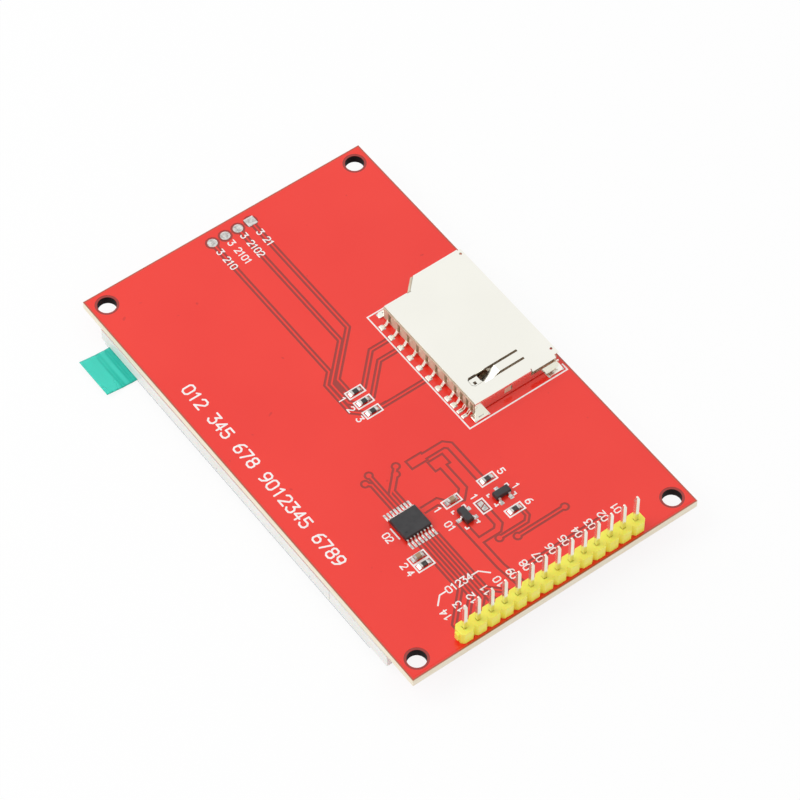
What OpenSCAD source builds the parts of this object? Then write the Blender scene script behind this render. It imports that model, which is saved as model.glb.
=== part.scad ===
// Colour display module: circuit board with pin header, full-size memory card socket and
// touch controller on its top face, and a backlit liquid crystal panel with a resistive
// touch panel fixed face down below it. Millimetres, +Z out of the component side.
// The origin is the middle of the board, on the component side. The header is at the -Y
// end, the card slot opens at the +X edge and the film's pull tab is at the -X edge.

/* [Board] */
// Width of the circuit board
board_w = 55.04; // [53:0.01:62]
// Length of the circuit board
board_l = 89.3; // [87:0.1:100]
// Thickness of the laminate
board_t = 1.6; // [0.8:0.1:2]
// Diameter of the four mounting holes
mount_hole_d = 3.2; // [2.6:0.1:3.5]
// Distance from the board's edges to the mounting holes
mount_hole_inset = 2.8; // [2.6:0.1:3.4]
// Width of the bare ring round a mounting hole
hole_ring = 0.4; // [0.2:0.05:0.6]
// Width of the bare strip along the board's edges
copper_margin = 0.5; // [0.2:0.1:1]
// Depth of the step where copper is etched away
copper_t = 0.035; // [0.02:0.005:0.07]
// Width of a signal track
track_w = 0.3; // [0.2:0.02:0.5]
// Width of a supply track
supply_w = 0.84; // [0.6:0.02:1.2]
// Width of the etched gap beside a track
track_gap = 0.37; // [0.15:0.01:0.4]
// Diameter of a via's copper
via_d = 0.9; // [0.6:0.05:1.1]
// Thickness of the tinned pads
pad_t = 0.04; // [0.02:0.01:0.08]
// Thickness of the white print
print_t = 0.02; // [0.01:0.005:0.04]
// Width of the printed lines
print_w = 0.25; // [0.15:0.01:0.3]

/* [Header] */
// Number of header pins
pin_count = 14; // [10:1:16]
// Distance between pins
pin_pitch = 2.54; // [2.5:0.01:2.6]
// Side of the square pins
pin_side = 0.64; // [0.5:0.01:0.7]
// Height of the pin tips above the board
pin_top = 8.5; // [6:0.1:12]
// Length of the pins below the board
pin_tail = 1.4; // [1:0.1:1.8]
// Length of the taper at each end of a pin
pin_taper = 0.6; // [0.3:0.1:0.9]
// Side of a pin's flat tip
pin_tip = 0.3; // [0.2:0.05:0.45]
// Distance from the board's end to the pin row
header_edge = 1.75; // [1.5:0.05:2.4]
// Width of the plastic strip
strip_w = 2.5; // [2.2:0.05:2.8]
// Height of the plastic strip
strip_h = 2.54; // [2:0.01:3]
// Depth of the break notches between positions
notch = 0.5; // [0.2:0.05:0.7]
// Clearance of a pin in the plastic strip
pin_fit = 0.02; // [0.01:0.01:0.05]
// Diameter of the plated holes
plated_hole_d = 1.0; // [0.95:0.05:1.2]
// Diameter of a solder joint on its pad
joint_d = 1.7; // [1.5:0.05:1.9]
// Height of a solder joint
joint_h = 1.0; // [0.6:0.1:1.2]

/* [Spare pads] */
// Number of spare pads at the far end
spare_count = 4; // [2:1:6]
// Distance from the board's end to the spare pads
spare_edge = 2.55; // [2.2:0.05:3.5]
// Diameter of a spare pad
spare_d = 1.75; // [1.5:0.05:1.9]

/* [Card socket] */
// Width of the card that the slot takes
card_w = 24.0; // [23.5:0.1:24.5]
// Width of the base's rails beside the card
rail_w = 1.05; // [0.9:0.05:1.6]
// Depth of the steel shell along the card
shell_d = 16.85; // [16:0.05:20]
// Height of the shell above the board
shell_h = 2.8; // [2.7:0.05:3.4]
// Thickness of the shell's sheet
sheet_t = 0.2; // [0.15:0.01:0.25]
// Outer radius of the shell's folds
fold_r = 0.4; // [0.3:0.05:0.6]
// Distance from the board's edge to the shell's mouth
shell_setback = 0.92; // [0.3:0.01:2]
// Position of the shell's near wall along the board
shell_y = -10.95; // [-14:0.05:-8]
// Width that the corner step takes off the shell's rear
step_w = 2.2; // [1.5:0.1:3]
// Distance from the mouth to the corner step
step_x = 9.4; // [7:0.1:11]
// Gap between the shell and the plastic base
shell_fit = 0.05; // [0.03:0.01:0.1]
// Width of the base's lip outside the shell's slanting edge
lip_w = 0.65; // [0.4:0.05:0.8]
// Gap between the shell's walls and the board
wall_lift = 0.2; // [0.1:0.05:0.4]
// Thickness of the base's floor
floor_t = 0.4; // [0.3:0.05:0.5]
// Thickness of the base's rear wall
block_d = 1; // [0.8:0.05:1.4]
// Length that the rear wall stands out behind the shell
block_out = 0.15; // [0.05:0.05:0.6]
// Distance from the mouth to the end stop of the card
stop_depth = 13.6; // [13:0.1:16]
// Height of the end stop
stop_h = 1.6; // [1.2:0.1:1.8]
// Side of the card's cut corner
card_cut = 4; // [3.5:0.1:4.5]
// Distance between the card contacts
contact_pitch = 2.5; // [2.45:0.01:2.55]
// Width of a card contact
contact_w = 0.75; // [0.5:0.05:0.9]
// Thickness of a contact's strip
contact_t = 0.15; // [0.1:0.01:0.2]
// Height at which a contact passes through the rear wall
contact_z = 0.8; // [0.6:0.05:1]
// Height of the low end of a contact's spring
spring_low = 0.45; // [0.3:0.05:0.6]
// Height of the top of a contact's spring
spring_high = 1.1; // [0.9:0.05:1.3]
// Clearance of a contact in its channel
contact_fit = 0.04; // [0.02:0.01:0.08]
// Width of the shell's pressing tongue
tongue_w = 1.45; // [1.2:0.05:1.8]
// Length of the tongue's flat root
tongue_root = 4.7; // [3.5:0.1:5.5]
// Gap between the tongue and the plate beside it
tongue_gap = 0.42; // [0.25:0.01:0.5]
// Clearance between the tongue and the contacts
tongue_clear = 0.12; // [0.1:0.01:0.3]
// Reach of the shell's solder feet
foot_reach = 1.35; // [1:0.05:1.6]
// Width of the contacts' necks between the solder foot and the base
neck_w = 0.5; // [0.4:0.05:0.6]

/* [Chips] */
// Length of the touch controller's body
touch_chip_l = 5.0; // [4.8:0.1:5.2]
// Width of the touch controller's body
touch_chip_w = 4.4; // [4:0.1:4.6]
// Height of the touch controller's body
touch_chip_h = 0.95; // [0.8:0.05:1.1]
// Distance between the touch controller's leads
touch_lead_pitch = 0.65; // [0.6:0.01:0.66]
// Length of the small packages' bodies
small_chip_l = 2.9; // [2.7:0.05:3.1]
// Width of the small packages' bodies
small_chip_w = 1.3; // [1.2:0.05:1.5]
// Height of the small packages' bodies
small_chip_h = 1.0; // [0.8:0.05:1.2]
// Thickness of the leads
lead_t = 0.15; // [0.1:0.01:0.2]
// Length of a chip resistor or capacitor
chip_l = 1.6; // [1.5:0.05:1.7]
// Width of a chip resistor or capacitor
chip_w = 0.8; // [0.75:0.01:0.9]
// Height of a chip resistor
resistor_h = 0.45; // [0.4:0.01:0.55]
// Height of a chip capacitor
capacitor_h = 0.8; // [0.6:0.05:0.9]
// Length of a chip's end cap
cap_l = 0.35; // [0.25:0.05:0.45]

/* [Display] */
// Thickness of the foam tape under the board
tape_t = 0.5; // [0.4:0.05:0.8]
// Width of the foam tape's strips
tape_w = 2.5; // [2:0.1:3.5]
// Distance of the tape's strips from the edge
tape_inset = 1.4; // [1:0.1:2]
// Length of the display panel
panel_l = 77.7; // [76:0.1:79]
// Distance from the board's header end to the panel
panel_setback = 6.65; // [6.3:0.05:8]
// Thickness of the backlight frame
frame_t = 2.4; // [2.4:0.05:2.8]
// Wall of the frame beside the light guide
frame_wall = 2.9; // [2.5:0.1:3.5]
// Wall of the frame beside the glass
glass_wall = 1.4; // [1:0.1:1.8]
// Thickness of the reflector
reflector_t = 0.1; // [0.05:0.01:0.15]
// Thickness of the light guide
guide_t = 0.7; // [0.5:0.05:0.75]
// Thickness of the diffuser stack
diffuser_t = 0.2; // [0.1:0.05:0.25]
// Thickness of a polarizer
polarizer_t = 0.15; // [0.1:0.01:0.18]
// Thickness of each glass of the display
glass_t = 0.5; // [0.4:0.05:0.55]
// Length of the ledge that carries the driver
ledge_l = 4.2; // [3.8:0.1:5]
// Thickness of the flexible circuits
flex_t = 0.1; // [0.08:0.01:0.15]
// Width of the display's flexible circuit
flex_w = 34; // [30:0.5:36]
// Thickness of the touch panel's glass
touch_t = 0.9; // [0.7:0.05:1.1]
// Thickness of the touch panel's film
touch_film_t = 0.2; // [0.15:0.01:0.3]
// Thickness of the protective film
cover_t = 0.1; // [0.08:0.01:0.15]
// Clearance between parts that lie in the frame
lay_gap = 0.1; // [0.05:0.01:0.15]

/* [Pull tab] */
// Length of the pull tab outside the board's edge
tab_out = 5.9; // [4:0.1:8]
// Width of the pull tab
tab_w = 8.1; // [6:0.1:10]
// Distance from the panel's far end to the pull tab
tab_edge = 1.1; // [0.5:0.1:3]
// Thickness of the pull tab
tab_t = 0.06; // [0.05:0.01:0.1]
// Height to which the pull tab's end curls up
tab_curl = 0.7; // [0.2:0.1:1.5]

/* [Hidden] */
$fn = 48;
small_fn = 12; // sides of small round features
eps = 0.01; // overrun of a cutting tool past the face it opens

// Board: places of the holes, pins and pads
hole_x = board_w / 2 - mount_hole_inset;
hole_y = board_l / 2 - mount_hole_inset;
pin_y = -board_l / 2 + header_edge;
strip_end = pin_count * pin_pitch / 2;
spare_y = board_l / 2 - spare_edge;
function pin_x(i) = (i - (pin_count + 1) / 2) * pin_pitch;
function spare_x(i) = (i - (spare_count - 1) / 2) * pin_pitch;
function from_end(d) = d - board_l / 2; // y of a place measured from the header end

// Socket: its frame has x = 0 at the mouth and y = 0 at the outside of the near wall
mouth_x = board_w / 2 - shell_setback;
inner = sheet_t + shell_fit;         // from the wall's outside to the base
card_y = inner + rail_w;             // near edge of the card's space
shell_w = card_w + 2 * card_y;
rear_w = shell_w - step_w;           // width behind the corner step
step_end = step_x + step_w;          // the step runs at 45 degrees
plate_z = shell_h - sheet_t;         // underside of the shell's plate
block_x = -shell_d - block_out;      // rear face of the base
block_front = block_x + block_d;
stop_x = -stop_depth;
base_top = plate_z - 0.1;
lip_gap = shell_fit + 0.12;          // from the shell's slanting edge to the lip
first_contact = card_y + card_w - 2.75; // the first contact from the card's far edge
function contact_v(k) = first_contact - contact_pitch * min(k, 7) - (k == 8 ? 1.6 : 0);
switch_v = [contact_v(8) - 1.5, contact_v(8) - 2.7];
foot_x = block_x - 1.8;              // end of the contacts' solder feet
foot_flat = 1.05;                    // length of their flat end
head_l = 0.3;                        // level run between the riser and the base
foot_end_l = 0.45;                   // length of the broad end of a foot
spring_x = block_front + 0.5;
contact_apex = stop_x + 2.95;
contact_tip = contact_apex + 0.75;
tongue_v = contact_v(8) + 0.15 - tongue_w / 2;
tongue_x = -5.15;                    // root of the tongue
tongue_bend = tongue_x - tongue_root;
tongue_low_x = stop_x + 0.95;
// the spring's height below the tongue, and the middle of the tongue's sheet above it
spring_under = spring_low + (spring_high - spring_low) * (tongue_low_x - spring_x)
    / (contact_apex - spring_x);
tongue_low = spring_under + contact_t / 2 + tongue_clear + sheet_t / 2 + 0.05;
tongue_pad = plate_z;                // level of the pad at the tongue's end
tongue_end = stop_x - 1.4;
pad_gap = 0.1;                       // gap between the pad and the plate
pad_corner = 0.4;                    // side of its cut corner
flare_x = [-5.7, -1.0];              // stretch of the near wall with a flared upper edge
flare_y = 0.28;                      // bend of the flare
flare = 0.36;                        // its reach, down and out
low_wall = 1.3;                      // top of the wall below the flare
window_x = [-11.05, -9.5];           // window in the near wall
window_z = [0.85, 2.1];
feet_x = [[-shell_d - 0.8, 2.75], [-3, 2.85]]; // each solder foot's start and length
rear_reach = 0.9;                    // reach of the foot at the far rear corner
foot_cut = 0.35;                     // side of the feet's cut corners

// Chips and copper are placed on a grid of a quarter of the pin pitch, counted from the
// middle of the header's end of the board
grid = pin_pitch / 4;
function at(gx, gy) = [gx * grid, gy * grid - board_l / 2];
touch_chip = at(-17.3, 36.1);
reg_at = at(-5.1, 30);
transistor_at = at(6, 30);
jumper_at = at(0.2, 30);
touch_leads = 8;
touch_span = 3.2;                    // from the body's middle to a lead's end
small_span = 1.25;
small_lead_y = 0.95;
small_pad = [0.8, 0.72];
lead_w = 0.25;
small_lead_w = 0.42;
first_lead_dot = [1.2, -2];           // printed dot beside a small package's first lead
draft = 0.08;
bracket_arm = 0.5;
series_pitch = 3.7 * grid;           // the three resistors beside the socket
series_at = at(-4.5, 69.05);
function socket_y(v) = shell_y + v;
resistors = [
    for (i = [0 : 2]) series_at + [0, (2 - i) * series_pitch],
    at(-21.5, 24.8), at(5.9, 35.7), at(5.9, 24.5)];
capacitors = [at(-5, 35.7), at(-21.5, 27.3)];
pad_reach = 1.2;                     // from a chip's middle to the end of its pad
frame_size = [3.25, 1.7];            // printed frame round a chip
seat = pad_t;                        // level at which chips and feet stand

// Display: levels going down from the board
tape_z = -board_t;
panel_z = tape_z - tape_t;
reflector_z = panel_z - 0.05;
guide_z = reflector_z - reflector_t;
diffuser_z = guide_z - guide_t;
rear_pol_z = diffuser_z - diffuser_t;
rear_glass_z = rear_pol_z - polarizer_t;
front_glass_z = rear_glass_z - glass_t;
front_pol_z = front_glass_z - glass_t;
touch_z = panel_z - frame_t;
touch_film_z = touch_z - touch_t;
cover_z = touch_film_z - touch_film_t;
tab_z = cover_z + tab_t / 2;          // middle of the tab, on the film's margin
// Display: ends along Y
panel_y0 = from_end(panel_setback);
panel_y1 = panel_y0 + panel_l;
glass_y0 = panel_y0 + 1.2;
glass_y1 = panel_y1 - 1;
cf_y0 = glass_y0 + ledge_l;          // header end of the front glass
opening_y0 = cf_y0 + 2;
opening_y1 = glass_y1 - 0.6;
light_y0 = opening_y0 + 2;           // the light guide starts behind the lamps
seam_y = panel_y0 + 14.95;           // end of the wide tape pads
touch_y0 = panel_y0 + 4.5;
touch_y1 = panel_y1 - 0.5;
// Display: driver and way out of the flexible circuit
driver_size = [flex_w / 2, 1.3, 0.4];
driver_y = glass_y0 + 1.9;
flex_lap = 1.4;                      // the flexible circuits' hold on their glass
// Display: half widths
panel_hw = board_w / 2;
opening_hw = panel_hw - frame_wall;
glass_hw = panel_hw - glass_wall - lay_gap;
touch_hw = panel_hw - 0.6;
cover_hw = panel_hw - 0.3;
film_hw = touch_hw - 0.4;
tab_lap = cover_hw - film_hw - 0.05;
// Display flex: a loop round the end of the panel up to the board's underside
flex_low = front_glass_z - flex_t / 2;
flex_high = tape_z - flex_t / 2;
loop_r = (flex_high - flex_low) / 2;
loop_y = panel_y0 - 0.3;
loop_z = (flex_high + flex_low) / 2;
flex_end = from_end(17.6);
touch_flex_w = 6;
touch_flex_x = -8;
touch_flex_r = 0.55;

// ---------------------------------------------------------------- flat outlines

function unit(v) = v / norm(v);
function left_of(v) = [-v.y, v.x];
function run_at(p, i) = unit(p[i + 1] - p[i]);
// Corner i of a band along p: the point moved by d along the mitre of its two runs
function corner(p, i, d) =
    let (a = left_of(run_at(p, max(i - 1, 0))),
         b = left_of(run_at(p, min(i, len(p) - 2))),
         n = unit(a + b))
    p[i] + n * d / (n * a);
function band(p, w) = concat(
    [for (i = [0 : len(p) - 1]) corner(p, i, w / 2)],
    [for (i = [len(p) - 1 : -1 : 0]) corner(p, i, -w / 2)]);

module line(p, w) polygon(band(p, w));
module rect(x0, x1, y0, y1) translate([x0, y0]) square([x1 - x0, y1 - y0]);
module box(x0, x1, y0, y1, z0, z1) translate([x0, y0, z0]) cube([x1 - x0, y1 - y0, z1 - z0]);
// Stands a profile drawn as (x, z) on end and extrudes it along Y from y0 to y1
module along_y(y0, y1) translate([0, y1, 0]) rotate([90, 0, 0]) linear_extrude(y1 - y0) children();
// Extrudes a profile drawn as (y, z) along X from x0 to x1
module along_x(x0, x1)
    translate([x0, 0, 0]) rotate([90, 0, 90]) linear_extrude(x1 - x0) children();
module at_socket() translate([mouth_x, shell_y, 0]) children();

// ---------------------------------------------------------------- copper

function series_pad(i, side) = resistors[i] + [side * chip_l / 2, 0];
function touch_lead_x(k) = touch_chip.x + (k - (touch_leads - 1) / 2) * touch_lead_pitch;
function lead_row(side) = touch_chip.y + side * (touch_span + 0.3);
function over_lead(k, side) = [touch_lead_x(k), lead_row(side)];
turn_in = 4 * grid;                  // tracks turn in to a pin this far from its row
contact_pad_x = mouth_x + foot_x + 0.6;

// A track that leaves a spare pad, turns left by 45 degrees at y = turn and runs down x = drop
function spare_track(i, turn, drop, end) =
    let (x = spare_x(i), d = x - drop)
    [[x, spare_y], [x, turn], [drop, turn - d], [drop, end.y + abs(end.x - drop)], end];
// A track from a socket contact to the right pad of a series resistor
function card_track(k, i) =
    let (y = socket_y(contact_v(k)), p = series_pad(i, 1), d = y - p.y)
    [[contact_pad_x, y], [p.x + 0.9 + d, y], [p.x + 0.9, p.y], p];
// A track from a touch controller lead, below it, to header pin i
function touch_track(k, i) =
    let (x = touch_lead_x(k), d = abs(pin_x(i) - x), y = pin_y + turn_in)
    [over_lead(k, -1), [x, y + d], [pin_x(i), y], [pin_x(i), pin_y]];
// A track from a touch controller lead, above it, to a via
function via_track(k, via) =
    let (x = touch_lead_x(k), d = abs(via.x - x))
    [over_lead(k, 1), [x, via.y - d], via];

via_at = [at(-19, 52.4), at(-16.8, 53.9), at(-9.8, 52.2), at(-11.2, 50.3),
    at(-2.2, 20.1), at(1.7, 17.9), at(16.2, 17.9)];

signal_tracks = [
    spare_track(0, series_pad(2, -1).y + 16.4 * grid, -9 * grid, series_pad(2, -1)),
    spare_track(2, series_pad(2, -1).y + 22.7 * grid, -7.8 * grid, series_pad(1, -1)),
    spare_track(3, series_pad(2, -1).y + 24.9 * grid, -5.7 * grid, series_pad(0, -1)),
    card_track(1, 0), card_track(2, 1), card_track(5, 2),
    via_track(3, via_at[0]), via_track(4, via_at[1]), via_track(5, via_at[2]),
    via_track(6, via_at[3]),
    touch_track(2, 1), touch_track(3, 2), touch_track(5, 3), touch_track(6, 4),
    touch_track(7, 5),
    [via_at[4], at(6.1, 20.1), at(7.4, 21.4), resistors[5] + [1.5 * grid, 0]],
    [via_at[5], via_at[6]],
    [at(-2, 9.9), at(22, 9.9)]];
supply_tracks = [
    [at(-4.7, 50.5), at(3.5, 50.5), at(4.7, 49.3), resistors[4] - [1.2 * grid, 0]],
    [at(-0.4, 46.8), at(-0.4, 37.2), at(-2.5, 35.1), capacitors[0] + [1.2 * grid, 0]],
    [at(-12.4, 37.7), at(-7.9, 37.7), capacitors[0] - [1.4 * grid, 0]],
    [reg_at - [small_span, 0], at(-6.9, 13.5), [pin_x(6), pin_y + turn_in],
     [pin_x(6), pin_y]],
    [jumper_at - [0, 1.2 * grid], at(0.2, 23.6), at(-1.1, 22.3), at(-6.9, 22.3)]];
// Small areas of copper as [middle, size]
copper_lands = [[at(-4.7, 50.5), [4.1, 2.2] * grid], [at(-0.6, 46.8), [3.9, 2.7] * grid]];

module copper() {
    for (t = signal_tracks) line(t, track_w);
    for (t = supply_tracks) line(t, supply_w);
    for (p = via_at) translate(p) circle(d = via_d, $fn = small_fn);
    for (i = [0 : spare_count - 1])
        translate([spare_x(i), spare_y]) circle(d = spare_d, $fn = small_fn);
    for (c = copper_lands) translate(c[0]) square(c[1], center = true);
}

module copper_clearance() {
    for (t = signal_tracks) line(t, track_w + 2 * track_gap);
    for (t = supply_tracks) line(t, supply_w + 2 * track_gap);
    for (p = via_at) translate(p) circle(d = via_d + 2 * track_gap, $fn = small_fn);
    for (i = [0 : spare_count - 1]) translate([spare_x(i), spare_y])
        circle(d = spare_d + 2 * track_gap, $fn = small_fn);
    for (c = copper_lands)
        translate(c[0]) square(c[1] + 2 * track_gap * [1, 1], center = true);
    // bare laminate between the tracks that run down beside the series resistors
    translate(series_pad(0, -1) + [-0.9, 3.7] * grid)
        square([1.5, 3.9] * grid, center = true);
}

// The two halves of a solder jumper, parted by a slanting gap
module jumper_halves() {
    polygon([[-0.45, 0.92], [0.45, 0.92], [0.45, 0.3], [-0.45, -0.1]]);
    polygon([[-0.45, -0.92], [0.45, -0.92], [0.45, 0.1], [-0.45, -0.3]]);
}

module etched() {
    difference() {
        square([board_w + 1, board_l + 1], center = true);
        square([board_w - 2 * copper_margin, board_l - 2 * copper_margin], center = true);
    }
    for (x = [-hole_x, hole_x], y = [-hole_y, hole_y])
        translate([x, y]) circle(d = mount_hole_d + 2 * hole_ring);
    difference() {
        copper_clearance();
        copper();
    }
    translate(jumper_at) difference() {
        square([1.3, 2.2], center = true);
        jumper_halves();
    }
}

module circuit_board() color("firebrick") difference() {
    translate([0, 0, -board_t]) linear_extrude(board_t)
        square([board_w, board_l], center = true);
    translate([0, 0, -copper_t]) linear_extrude(copper_t + eps) etched();
    for (x = [-hole_x, hole_x], y = [-hole_y, hole_y])
        translate([x, y, -board_t - eps]) cylinder(d = mount_hole_d, h = board_t + 2 * eps);
    for (i = [1 : pin_count])
        translate([pin_x(i), pin_y, -board_t - eps])
            cylinder(d = plated_hole_d, h = board_t + 2 * eps, $fn = small_fn);
    for (i = [0 : spare_count - 1])
        translate([spare_x(i), spare_y, -board_t - eps])
            cylinder(d = plated_hole_d, h = board_t + 2 * eps, $fn = small_fn);
}

// ---------------------------------------------------------------- solder and print

// Pad and fillet at one end of a chip that runs along X, with the chip's middle at x = 0
module chip_fillet(h) along_y(-chip_w / 2 - 0.03, chip_w / 2 + 0.03)
    polygon([[chip_l / 2 - cap_l - 0.05, 0], [pad_reach, 0], [pad_reach, pad_t],
        [chip_l / 2, seat + 0.55 * h], [chip_l / 2, pad_t],
        [chip_l / 2 - cap_l - 0.05, pad_t]]);

module chip_solder(at, h) translate(at) {
    chip_fillet(h);
    mirror([1, 0, 0]) chip_fillet(h);
}

module pad(x, y, w, l) translate([x - w / 2, y - l / 2, 0]) cube([w, l, pad_t]);

// Joint of a through pin: a plug in the plated hole and a cone below the board
module pin_joint(x, y) translate([x, y, 0]) difference() {
    union() {
        translate([0, 0, -board_t]) cylinder(d = plated_hole_d, h = board_t, $fn = small_fn);
        // the cone's side curves in towards the pin
        translate([0, 0, -board_t]) rotate_extrude($fn = small_fn)
            polygon([[0, 0], [joint_d / 2, 0], [pin_side * 0.95, -joint_h * 0.45],
                [pin_side * 0.7, -joint_h], [0, -joint_h]]);
    }
    translate([-pin_side / 2, -pin_side / 2, -board_t - joint_h - eps])
        cube([pin_side, pin_side, board_t + joint_h + 2 * eps]);
}

module spare_pad(x, y, square_pad) translate([x, y, 0]) {
    translate([0, 0, -board_t]) cylinder(d = plated_hole_d, h = board_t, $fn = small_fn);
    if (square_pad) linear_extrude(pad_t) square(spare_d, center = true);
    else cylinder(d = spare_d, h = pad_t, $fn = small_fn);
}

module jumper_pads() translate(jumper_at) linear_extrude(pad_t) jumper_halves();

module solder() color("gainsboro") {
    for (i = [1 : pin_count]) pin_joint(pin_x(i), pin_y);
    for (i = [0 : spare_count - 1]) spare_pad(spare_x(i), spare_y, i == spare_count - 1);
    for (p = resistors) chip_solder(p, resistor_h);
    for (p = capacitors) chip_solder(p, capacitor_h);
    for (k = [0 : touch_leads - 1], s = [-1, 1])
        pad(touch_lead_x(k), touch_chip.y + s * (touch_span + 0.05), 0.4, 1.3);
    for (y = [-small_lead_y, small_lead_y])
        pad(reg_at.x + small_span, reg_at.y + y, small_pad.x, small_pad.y);
    pad(reg_at.x - small_span, reg_at.y, small_pad.x, small_pad.y);
    for (x = [-small_lead_y, small_lead_y])
        pad(transistor_at.x + x, transistor_at.y - small_span, small_pad.y, small_pad.x);
    pad(transistor_at.x, transistor_at.y + small_span, small_pad.y, small_pad.x);
    jumper_pads();
    at_socket() {
        for (k = [0 : 8])
            pad(foot_x + foot_end_l / 2 + 0.1, contact_v(k), foot_end_l + 0.4, contact_w + 0.3);
        for (v = switch_v) pad(foot_x + 0.4, v, 1, 0.65);
        for (f = feet_x) pad(f[0] + f[1] / 2, -foot_reach / 2, f[1] + 0.2, foot_reach);
        pad(feet_x[0][0] + feet_x[0][1] / 2, rear_w + rear_reach / 2, feet_x[0][1] + 0.2,
            rear_reach);
        pad(feet_x[1][0] + feet_x[1][1] / 2, shell_w + foot_reach / 2, feet_x[1][1] + 0.2,
            foot_reach);
    }
}

module printed_frame(at, size) translate(at) difference() {
    square(size, center = true);
    square(size - 2 * print_w * [1, 1], center = true);
}

// Corner brackets round a body of the given size
module brackets(at, size, arm) translate(at) for (sx = [-1, 1], sy = [-1, 1])
    scale([sx, sy]) line([[size.x / 2 - arm, size.y / 2], [size.x / 2, size.y / 2],
        [size.x / 2, size.y / 2 - arm]], print_w);

module silkscreen() color("white") linear_extrude(print_t) {
    for (p = resistors) printed_frame(p, frame_size);
    for (p = capacitors) printed_frame(p, frame_size);
    printed_frame(jumper_at, [1.85, 2.75]);
    small_outline = [small_chip_w + 1.1, small_chip_l + 1];
    brackets(reg_at, small_outline, bracket_arm);
    brackets(transistor_at, [small_outline.y, small_outline.x], bracket_arm);
    for (d = [reg_at + first_lead_dot,
        transistor_at + [first_lead_dot.y, -first_lead_dot.x]])
        translate(d) circle(d = 0.4, $fn = small_fn);
    line([touch_chip + [-2.9, 1.3], touch_chip + [-2.9, -1.2]], print_w);
    // outline of the card socket
    line([[mouth_x - shell_d + 1, socket_y(rear_w + 1.25)],
        [mouth_x + foot_x - 0.35, socket_y(rear_w + 1.25)],
        [mouth_x + foot_x - 0.35, socket_y(-foot_reach - 0.35)],
        [mouth_x + 0.3, socket_y(-foot_reach - 0.35)],
        [mouth_x + 0.3, socket_y(-0.3)]], print_w);
    // brackets beside the touch group's legend
    for (s = [-1, 1]) translate([pin_x(3), from_end(9.85)])
        line([[s * 2.4, 0], [s * 3.7, 0], [s * 5.1, -1.4]], print_w);
}

// ---------------------------------------------------------------- header

// One side of the strip: the flat of each position between two 45 degree notches
function strip_side(side) = [for (i = [1 : pin_count], e = [-1, 1])
    each (e < 0
        ? [[pin_x(i) - pin_pitch / 2, side * (strip_w / 2 - notch)],
           [pin_x(i) - pin_pitch / 2 + notch, side * strip_w / 2]]
        : [[pin_x(i) + pin_pitch / 2 - notch, side * strip_w / 2]])];
function reversed(p) = [for (i = [len(p) - 1 : -1 : 0]) p[i]];

module header_housing() color("khaki") translate([0, pin_y, 0]) difference() {
    union() {
        linear_extrude(strip_h) polygon(concat(
            strip_side(-1), [[strip_end, -(strip_w / 2 - notch)], [strip_end, strip_w / 2 - notch]],
            reversed(strip_side(1))));
        // stub where the strip was snapped off
        box(-strip_end - 0.3, -strip_end, -0.4, 0.4, 0.5, strip_h - 0.5);
    }
    for (i = [1 : pin_count])
        translate([pin_x(i) - pin_side / 2 - pin_fit, -pin_side / 2 - pin_fit, -eps])
            cube([pin_side + 2 * pin_fit, pin_side + 2 * pin_fit, strip_h + 2 * eps]);
}

// A pin's outline: straight, with a taper to a flat tip at each end
pin_bottom = -board_t - pin_tail;
pin_profile = [[-pin_tip / 2, pin_bottom], [pin_tip / 2, pin_bottom],
    [pin_side / 2, pin_bottom + pin_taper], [pin_side / 2, pin_top - pin_taper],
    [pin_tip / 2, pin_top], [-pin_tip / 2, pin_top],
    [-pin_side / 2, pin_top - pin_taper], [-pin_side / 2, pin_bottom + pin_taper]];

module header_pin(i) color("lightgoldenrodyellow") translate([pin_x(i), pin_y, 0])
    intersection() {
        along_y(-pin_side, pin_side) polygon(pin_profile);
        along_x(-pin_side, pin_side) polygon(pin_profile);
    }

// ---------------------------------------------------------------- card socket

// Section of a folded edge as (y, z): quarter bend at the plate, then a wall down to z0
module fold_section(z0) {
    translate([fold_r, shell_h - fold_r]) intersection() {
        difference() {
            circle(r = fold_r);
            circle(r = fold_r - sheet_t);
        }
        translate([-fold_r, 0]) square(fold_r);
    }
    translate([0, z0]) square([sheet_t, shell_h - fold_r - z0]);
}

// A folded wall along X from x0 to x1 with its outside at y = 0, or at y = w facing away
module near_wall(x0, x1) along_x(x0, x1) fold_section(wall_lift);
module far_wall(x0, x1, w) translate([0, w, 0]) mirror([0, 1, 0]) near_wall(x0, x1);

// Solder foot bent outwards from the bottom of the near wall: its outer corners are cut
// and a short slot lets the solder through
module foot(f, reach) {
    x1 = f[0] + f[1];
    mid = f[0] + f[1] / 2;
    translate([0, 0, seat]) linear_extrude(sheet_t) difference() {
        polygon([[f[0], sheet_t], [f[0], foot_cut - reach], [f[0] + foot_cut, -reach],
            [x1 - foot_cut, -reach], [x1, foot_cut - reach], [x1, sheet_t]]);
        rect(mid - 0.5, mid + 0.5, 0.35 - reach, 0.6 - reach);
    }
    along_x(max(f[0], -shell_d), x1) rect(0, sheet_t, seat, low_wall - 0.2);
}

module tongue() {
    half = sheet_t / 2;
    z = plate_z + half;
    difference() {
        along_y(tongue_v, tongue_v + tongue_w) line([[tongue_x + eps, z], [tongue_bend, z],
            [tongue_low_x + 0.12, tongue_low], [tongue_low_x - 0.12, tongue_low],
            [tongue_low_x - 0.75, tongue_pad], [tongue_end, tongue_pad]], sheet_t);
        // small window in the pad at the end
        box(tongue_end + 0.4, tongue_end + 0.9, tongue_v + 0.2, tongue_v + 0.8,
            tongue_pad - sheet_t, shell_h);
        // cut corner of the pad
        translate([tongue_end, tongue_v, 0]) rotate(45)
            cube([pad_corner * sqrt(2), 1, 2 * shell_h], center = true);
    }
}

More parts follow.
